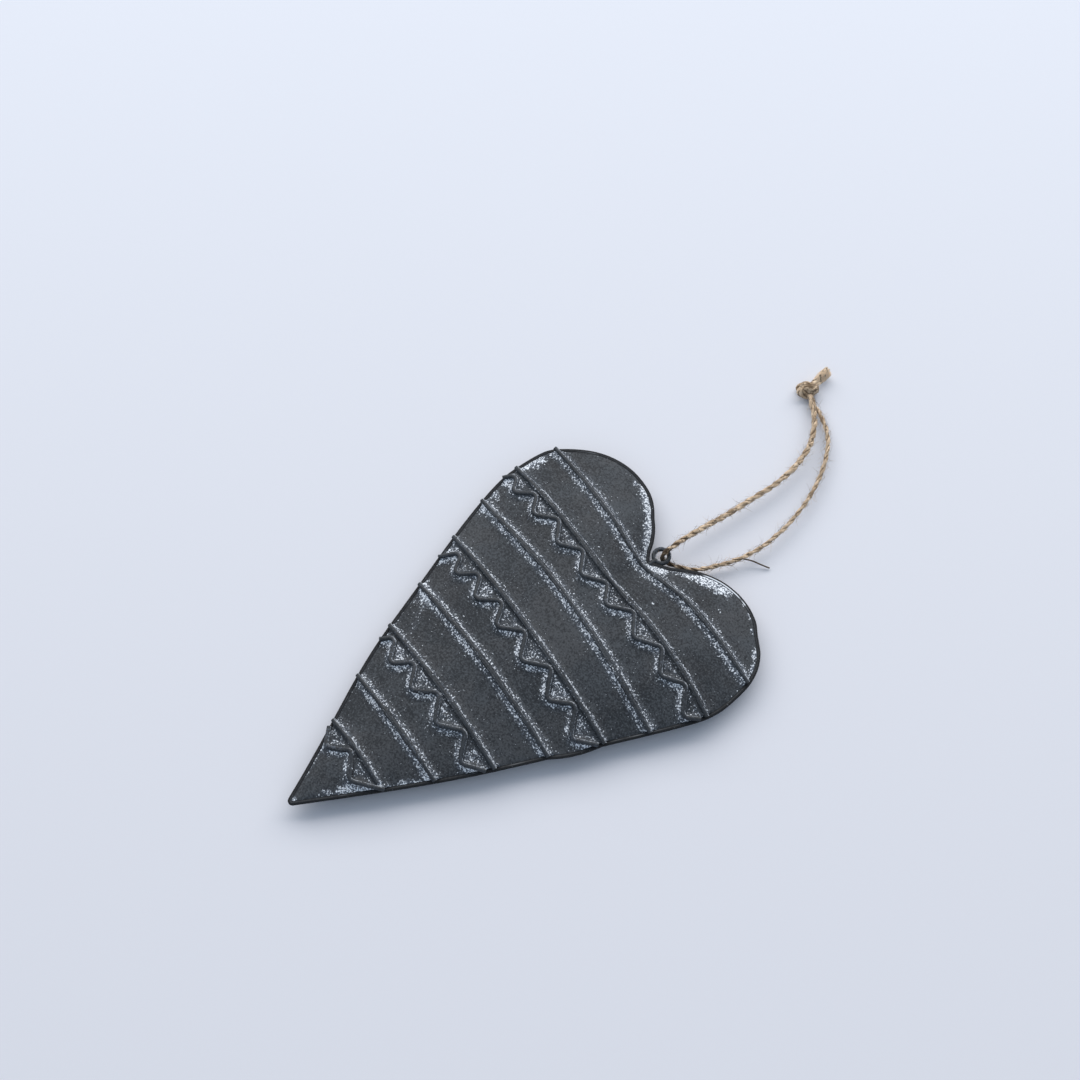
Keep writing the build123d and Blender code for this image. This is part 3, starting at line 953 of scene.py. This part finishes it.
def jute_group():
    """Jute fibres along a ply: where they are brown, where they are dark from painted shade in the
    creases, from dark fibres and from flecks, and their relief.
    """
    if "Jute Fibres" in bpy.data.node_groups:
        return bpy.data.node_groups["Jute Fibres"]
    tree, given, result = group(
        "Jute Fibres",
        {"Place": "NodeSocketVector", "Fibre": "NodeSocketVector",
         "Shade": "NodeSocketFloat", "Brown Share": "NodeSocketFloat"},
        ("Brown", "Deep", "Streak"),
    )
    place, share = given["Place"], given["Brown Share"]
    inputs = {"Vector": given["Fibre"], "Scale": (3.0, 3.0, 0.35)}
    stretched = put(tree, "ShaderNodeMapping", inputs).outputs["Vector"]
    streak = noise_at(tree, stretched, 1.6, 4.0, 0.75)
    broad = noise_at(tree, place, 500.0, 2.0, 0.5)
    mixed = calc(tree, "MULTIPLY_ADD", streak, 0.65, calc(tree, "MULTIPLY", broad, 0.35))
    flecks = spread(tree, noise_at(tree, place, 900.0, 1.0, 0.5), 0.58, 0.70, 0.0, 0.8)
    # Painted shade where the shade value is high, in the creases between the plies
    shade = calc(tree, "ADD", given["Shade"], -0.3)
    crease = spread(tree, calc(tree, "MULTIPLY_ADD", streak, 0.6, shade), 0.62, 0.95)
    fill(tree, result, {
        "Brown": spread(tree, mixed, 0.40, 0.58, share, calc(tree, "ADD", share, 0.9)),
        "Deep": calc(tree, "MAXIMUM", crease, flecks),
        "Streak": streak,
    })
    return tree


def patina_and_flux(tree, place, mask):
    """What the two finishes that tin and wire share put out at a place."""
    patina = put(tree, "ShaderNodeGroup", {"Place": place}, node_tree=patina_group())
    flux = put(tree, "ShaderNodeGroup", {"Place": place, "Mask": mask}, node_tree=flux_group())
    return patina.outputs, flux.outputs


def shaded(name):
    """A new material with its tree, its shader and the object's own coordinates."""
    material = bpy.data.materials.new(name)
    material.use_nodes = True
    tree = material.node_tree
    place = put(tree, "ShaderNodeTexCoord").outputs["Object"]
    return material, tree, tree.nodes["Principled BSDF"], place


def four(colour):
    """A colour with its fourth value, which sockets ask for."""
    return (*colour, 1.0)


def tin_material():
    """Dark patinated tin with pale flux, painted shade in the creases and a dark rim."""
    if "Patinated Tin" in bpy.data.materials:
        return bpy.data.materials["Patinated Tin"]
    look = bpy.context.scene.heart_sheet
    material, tree, shader, place = shaded("Patinated Tin")
    patina, flux = patina_and_flux(tree, place, value_of(tree, "residue"))
    tin = blend(tree, patina["Rubbed"], four(look.tin), four(look.tin_pale))
    warm = calc(tree, "MULTIPLY", patina["Warmth"], 0.6)
    tin = blend(tree, warm, tin, (1.05, 0.97, 0.92, 1.0), "MULTIPLY")
    tin = blend(tree, flux["Film"], tin, four(look.residue_thin))
    # Painted shade in the creases, and the rim painted dark, both in the nearly black colour
    crevice = value_of(tree, "crevice")
    dark = calc(tree, "MAXIMUM", crevice, value_of(tree, "rim"))
    tin = blend(tree, calc(tree, "MULTIPLY", dark, 0.92), tin, four(look.dark_rim_and_crease_shade))
    crust = blend(tree, flux["Brightness"], four(look.residue_thin), four(look.residue))
    clear = calc(tree, "SUBTRACT", 1.0, calc(tree, "MULTIPLY", crevice, 1.2), clamp=True)
    cover = calc(tree, "MULTIPLY", flux["Cover"], clear)
    # The rubbed edge, partly real wear and partly a painted highlight, takes the pale flux colour
    worn = spread(tree, value_of(tree, "worn"), 0.15, 0.8)
    relief = calc(tree, "MULTIPLY_ADD", patina["Grain"], 0.4, flux["Height"])
    fill(tree, shader, {
        "Base Color": blend(tree, worn, blend(tree, cover, tin, crust), four(look.residue)),
        "Roughness": spread(tree, cover, 0.0, 1.0, 0.6, 0.85),
        "Normal": bumps(tree, relief, 0.6, 0.00008),
        "Specular IOR Level": 0.2,
    })
    return material


def wire_material():
    """Dark annealed wire under a skin of patina, with grains of flux in patches, and pale flux
    colour on its upper flank as a painted highlight.
    """
    if "Annealed Wire" in bpy.data.materials:
        return bpy.data.materials["Annealed Wire"]
    look, sheet = bpy.context.scene.heart_solder, bpy.context.scene.heart_sheet
    material, tree, shader, place = shaded("Annealed Wire")
    facing = put(tree, "ShaderNodeTexCoord").outputs["Normal"]
    facing = put(tree, "ShaderNodeSeparateXYZ", {"Vector": facing}).outputs
    # The flank that faces the lamp gets pale flux colour: a painted highlight
    lit_flank = spread(tree, facing["Y"], 0.15, 0.6)
    patches = spread(tree, noise_at(tree, place, 160.0, 2.0), 0.42, 0.68, 0.0, 0.55)
    mask = calc(tree, "MAXIMUM", patches, calc(tree, "MULTIPLY", lit_flank, 0.95))
    patina, flux = patina_and_flux(tree, place, mask)
    worn = [min(1.0, value * 2.0) for value in look.wire]
    wire = blend(tree, patina["Rubbed"], four(look.wire), four(worn))
    cover = calc(tree, "MULTIPLY", flux["Cover"], 0.7)
    bright = calc(tree, "MULTIPLY", flux["Brightness"], calc(tree, "MULTIPLY", lit_flank, 0.6))
    crust = blend(tree, bright, four(sheet.residue_thin), four(sheet.residue))
    fill(tree, shader, {
        "Base Color": blend(tree, cover, wire, crust),
        "Roughness": spread(tree, cover, 0.0, 1.0, 0.5, 0.8),
        "Normal": bumps(tree, patina["Grain"], 0.6, 0.00008),
        "Specular IOR Level": 0.27,
    })
    return material


def jute_material(name, brown_share):
    """Jute twine, pale on top with painted shade in the creases between the plies, and a share of
    brown fibres.
    """
    if name in bpy.data.materials:
        return bpy.data.materials[name]
    look = bpy.context.scene.heart_twine
    material, tree, shader, place = shaded(name)
    inputs = {
        "Place": place, "Fibre": value_of(tree, "fibre", "Vector"),
        "Shade": value_of(tree, "shade"), "Brown Share": brown_share,
    }
    fibres = put(tree, "ShaderNodeGroup", inputs, node_tree=jute_group()).outputs
    jute = blend(tree, fibres["Brown"], four(look.jute), four(look.jute_dark))
    fill(tree, shader, {
        "Base Color": blend(tree, fibres["Deep"], jute, four(look.jute_shade_and_dark_fibres)),
        "Roughness": 0.85,
        "Normal": bumps(tree, fibres["Streak"], 0.7, 0.00015),
        "Specular IOR Level": 0.25,
        "Sheen Weight": 0.2,
    })
    return material


def floor_material():
    """The pale floor, with painted light that makes it lighter towards the top of the picture.
    Past the picture's edges it evens out what the lamp gives it.
    """
    look = bpy.context.scene.heart_stage
    material, tree, shader, place = shaded("Pale Floor")
    parts = put(tree, "ShaderNodeSeparateXYZ", {"Vector": place}).outputs
    up = calc(tree, "ADD", calc(tree, "MULTIPLY", parts["X"], PICTURE_UP[0]),
              calc(tree, "MULTIPLY", parts["Y"], PICTURE_UP[1]))
    floor = four(look.floor_bottom)
    for colour, low, high in (
        (look.floor_top, -0.08, 0.36), (look.floor_lamp_side, 0.36, 1.7),
        (look.floor_far_side, -0.4, -1.6),
    ):
        floor = blend(tree, spread(tree, up, low, high), floor, four(colour))
    fill(tree, shader, {"Base Color": floor, "Roughness": 0.9, "Specular IOR Level": 0.1})
    return material


# Operators


class ORNAMENT_OT_stage(bpy.types.Operator):
    """Lay the pale floor, light it softly and set up the camera"""

    bl_idname = "ornament.stage"
    bl_label = "Stage"

    def execute(self, context):
        look, scene = context.scene.heart_stage, context.scene
        scene.view_settings.view_transform = "Standard"
        camera = bpy.data.objects.new("Camera", bpy.data.cameras.new("Camera"))
        scene.collection.objects.link(camera)
        camera.data.lens = look.lens
        camera.data.sensor_width = 36.0
        camera.data.clip_start = 0.01
        camera.data.clip_end = 20.0
        camera.location = CAMERA
        camera.rotation_euler = (CAMERA_AIM - CAMERA).to_track_quat("-Z", "Y").to_euler()
        scene.camera = camera

        half = FLOOR_HALF
        corners = [(-half, -half, 0), (half, -half, 0), (half, half, 0), (-half, half, 0)]
        floor = mesh_object("floor", corners, [(0, 1, 2, 3)], floor_material(), smooth=False)

        lamp = bpy.data.lights.new("window", "AREA")
        lamp.shape = "RECTANGLE"
        lamp.size, lamp.size_y = LAMP_SIZE
        lamp.energy = look.lamp_power
        lamp.color = LAMP_COLOUR
        window = bpy.data.objects.new("window", lamp)
        scene.collection.objects.link(window)
        window.location = Vector((0, 0.03, 0)) + LAMP_WAY * LAMP_AWAY
        window.rotation_euler = (-LAMP_WAY).to_track_quat("-Z", "Y").to_euler()

        # The sky lights the ornament, and what looks past the floor sees the floor's colour
        world = bpy.data.worlds.new("sky")
        scene.world = world
        world.use_nodes = True
        tree = world.node_tree
        tree.nodes.clear()
        rays = put(tree, "ShaderNodeLightPath").outputs
        seen = calc(tree, "MAXIMUM", rays["Is Camera Ray"], rays["Is Glossy Ray"])
        seen = calc(tree, "MAXIMUM", seen, rays["Is Transmission Ray"])
        inputs = {"Color": SKY_COLOUR, "Strength": look.sky_strength}
        light = put(tree, "ShaderNodeBackground", inputs)
        shown = put(tree, "ShaderNodeBackground", {"Color": four(look.floor_top), "Strength": 1.0})
        inputs = {0: seen, 1: light.outputs[0], 2: shown.outputs[0]}
        mixed = put(tree, "ShaderNodeMixShader", inputs)
        put(tree, "ShaderNodeOutputWorld", {"Surface": mixed.outputs[0]})
        return {"FINISHED"}


class ORNAMENT_OT_twine(bpy.types.Operator):
    """Lay the twine from the knot, through the eye and back"""

    bl_idname = "ornament.twine"
    bl_label = "Twine Loop"

    def execute(self, context):
        look = context.scene.heart_twine
        rng = np.random.default_rng(11)
        line = smooth_line(ROUTE)
        parts = MeshParts()
        path = plied(parts, line, look.diameter, look.lay, rng, swell=thickness)
        # Painted shadow where it turns in the eye, and painted shade where it lies beside the tin
        for verts, shade in zip(parts.verts, parts.shade):
            away = np.linalg.norm(verts - EYE, axis=1)
            shade += 1.3 * np.exp(-((away / 0.0032) ** 3)) + 0.6 * np.exp(-((away / 0.009) ** 2))
        twine = parts.build("jute_twine", jute_material("Jute", 0.0))
        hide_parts("twine_loop")
        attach(twine, "hanger")

        fluff = MeshParts()
        tangent, across, up = frames_along(path)
        for _ in range(look.hairs):
            i = rng.integers(2, len(path) - 2)
            turn = rng.random() * 2 * math.pi
            out = across[i] * math.cos(turn) + up[i] * math.sin(turn)
            start = path[i] + out * look.diameter * 0.42
            way = tangent[i] * rng.choice((-1, 1)) + out * rng.uniform(0.1, 0.8)
            length, radius = rng.uniform(0.0008, 0.0034), rng.uniform(0.00003, 0.00006)
            hair(fluff, start, way, length, radius, rng, rng.choice((0.0, 0.1, 0.9)))
        fluff.tube(smooth_line(STRAY), 0.00025, 6, shade=2.2)
        fuzz = fluff.build("jute_fuzz", jute_material("Jute Fuzz", 0.1))
        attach(fuzz, "hanger")
        bpy.ops.ornament.knot()
        bpy.ops.ornament.tails()
        return {"FINISHED"}


class ORNAMENT_OT_knot(bpy.types.Operator):
    """Tie both strands in an overhand knot"""

    bl_idname = "ornament.knot"
    bl_label = "Knot"

    def execute(self, context):
        look = context.scene.heart_twine
        rng = np.random.default_rng(5)
        parts = MeshParts()
        ends = (np.array(ROUTE[:2]), np.array(ROUTE[:-3:-1]))
        for strand, (end, size, sink) in enumerate(zip(ends, (0.60, 0.80), (0.30, -0.35))):
            # An overhand knot's curve round its middle, mm: to its side, ahead and up
            turns = np.linspace(math.pi + 0.55, 3 * math.pi - 0.55, 15)
            side = -(np.cos(turns) - 2 * np.cos(2 * turns)) * size * 2.1 + 0.1
            ahead = (np.sin(turns) + 2 * np.sin(2 * turns)) * size * 0.95 - 0.2
            rise = 1.0 * np.sin(3 * turns) + sink
            places = KNOT + MM * (
                side[:, None] * KNOT_SIDE + ahead[:, None] * KNOT_AHEAD + rise[:, None] * UP
            )
            leave = KNOT + KNOT_OUT * 0.0024 + UP * sink * MM
            line = smooth_line([end[1] * 0.4 + end[0] * 0.6, end[0], *places, leave])
            plied(parts, line, look.diameter * 0.84, look.lay, rng, phase=strand * 1.3)
        # A core that fills what the turns leave open, painted dark as the shade inside the knot
        core = [KNOT + KNOT_SIDE * u * MM for u in (-2.9, -1.5, 0.2, 1.9, 3.1)]
        parts.tube(np.array(core), np.array((1.0, 1.7, 2.0, 1.8, 1.1)) * MM, 16, shade=0.8)
        knot = parts.build("jute_knot", jute_material("Jute Knot", 0.15))
        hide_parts("twine_knot")
        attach(knot, "hanger")
        return {"FINISHED"}


class ORNAMENT_OT_tails(bpy.types.Operator):
    """Fray the two cut ends beyond the knot"""

    bl_idname = "ornament.tails"
    bl_label = "Cut Ends"

    def execute(self, context):
        look = context.scene.heart_twine
        rng = np.random.default_rng(21)
        across = np.array((KNOT_OUT[1], -KNOT_OUT[0], 0.0))
        slant = math.radians(55)
        lean = across * math.cos(slant) - UP * math.sin(slant)
        parts = MeshParts()
        for side in (-1, 1):
            start = KNOT + KNOT_OUT * 0.0020 + lean * side * 0.00065
            stub = [start + KNOT_OUT * t for t in (0, 0.0010, 0.0024, 0.0036)]
            plied(parts, smooth_line(stub, 10), look.diameter * 0.9, look.lay * 1.3, rng,
                  phase=side, swell=lambda t: 1.0 - 0.4 * t**2)
            # Cut fibres that spread as they leave the stub, with painted shade at their bases
            for _ in range(110):
                a, r = rng.random() * 2 * math.pi, math.sqrt(rng.random())
                off = (across * math.cos(a) + UP * math.sin(a)) * r
                base = start + off * 0.0007 + KNOT_OUT * rng.uniform(0.0, 0.0024)
                tip = start + off * 0.00115 + KNOT_OUT * rng.uniform(0.0066, 0.0074)
                middle = (base + tip) / 2 + rng.normal(size=3) * 0.00016
                line = np.array([base, (base + middle) / 2, middle, (middle + tip) / 2, tip])
                size = rng.uniform(0.00006, 0.00011)
                parts.tube(line, size * np.array((1, 1, 1, 0.9, 0.7)), 4,
                           shade=np.array((0.5, 0.2, 0.05, 0.0, 0.0)))
        tails = parts.build("jute_tails", jute_material("Jute Ends", -0.45))
        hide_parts("twine_tails")
        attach(tails, "hanger")
        return {"FINISHED"}


class ORNAMENT_OT_sheets(bpy.types.Operator):
    """Work the front sheet with its solder and flux, and the back sheet"""

    bl_idname = "ornament.sheets"
    bl_label = "Tin Sheets"

    def execute(self, context):
        look = context.scene.heart_sheet
        fine = look.fine_step / MM
        front = sheet_mesh("front_sheet", "front_shell", 1, fine, soldered_sheet, tin_material())
        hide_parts("front_shell")
        back = sheet_mesh("back_sheet", "back_shell", -1, fine * 1.5, plain_sheet, tin_material())
        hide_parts("back_shell")
        for sheet in (front, back):
            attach(sheet, "heart")
        return {"FINISHED"}


class ORNAMENT_OT_wires(bpy.types.Operator):
    """Give the soldered wires and the eye their dark finish"""

    bl_idname = "ornament.wires"
    bl_label = "Wires and Eye"

    def execute(self, context):
        for name in [*PLAIN, *BORDER, *ZIGZAG, "hanging_eye"]:
            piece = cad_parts[name]
            piece.data.materials.clear()
            piece.data.materials.append(wire_material())
        return {"FINISHED"}


class ORNAMENT_PT_panel(bpy.types.Panel):
    """The ornament's pieces and their settings"""

    bl_label = "Tin Heart"
    bl_idname = "ORNAMENT_PT_panel"
    bl_space_type = "VIEW_3D"
    bl_region_type = "UI"
    bl_category = "Heart"

    def draw(self, context):
        layout = self.layout
        for kind in OPERATORS:
            layout.operator(kind.bl_idname)
        for key in SETTINGS:
            box = layout.box()
            settings = getattr(context.scene, key)
            for name in settings.__annotations__:
                box.prop(settings, name)


SETTINGS = {
    "heart_sheet": SheetSettings,
    "heart_solder": SolderSettings,
    "heart_twine": TwineSettings,
    "heart_stage": StageSettings,
}
OPERATORS = (
    ORNAMENT_OT_stage,
    ORNAMENT_OT_twine,
    ORNAMENT_OT_knot,
    ORNAMENT_OT_tails,
    ORNAMENT_OT_sheets,
    ORNAMENT_OT_wires,
)


def register():
    """Make the settings, the operators and the panel known."""
    for kind in (*SETTINGS.values(), *OPERATORS, ORNAMENT_PT_panel):
        bpy.utils.register_class(kind)
    for key, kind in SETTINGS.items():
        setattr(bpy.types.Scene, key, PointerProperty(type=kind))


def unregister():
    """Take them back."""
    for key in SETTINGS:
        delattr(bpy.types.Scene, key)
    for kind in reversed((*SETTINGS.values(), *OPERATORS, ORNAMENT_PT_panel)):
        bpy.utils.unregister_class(kind)


def main():
    """Make every piece in order."""
    register()
    bpy.ops.ornament.stage()
    bpy.ops.ornament.twine()
    bpy.ops.ornament.sheets()
    bpy.ops.ornament.wires()
    bpy.context.view_layer.update()


if __name__ == "__main__":
    main()
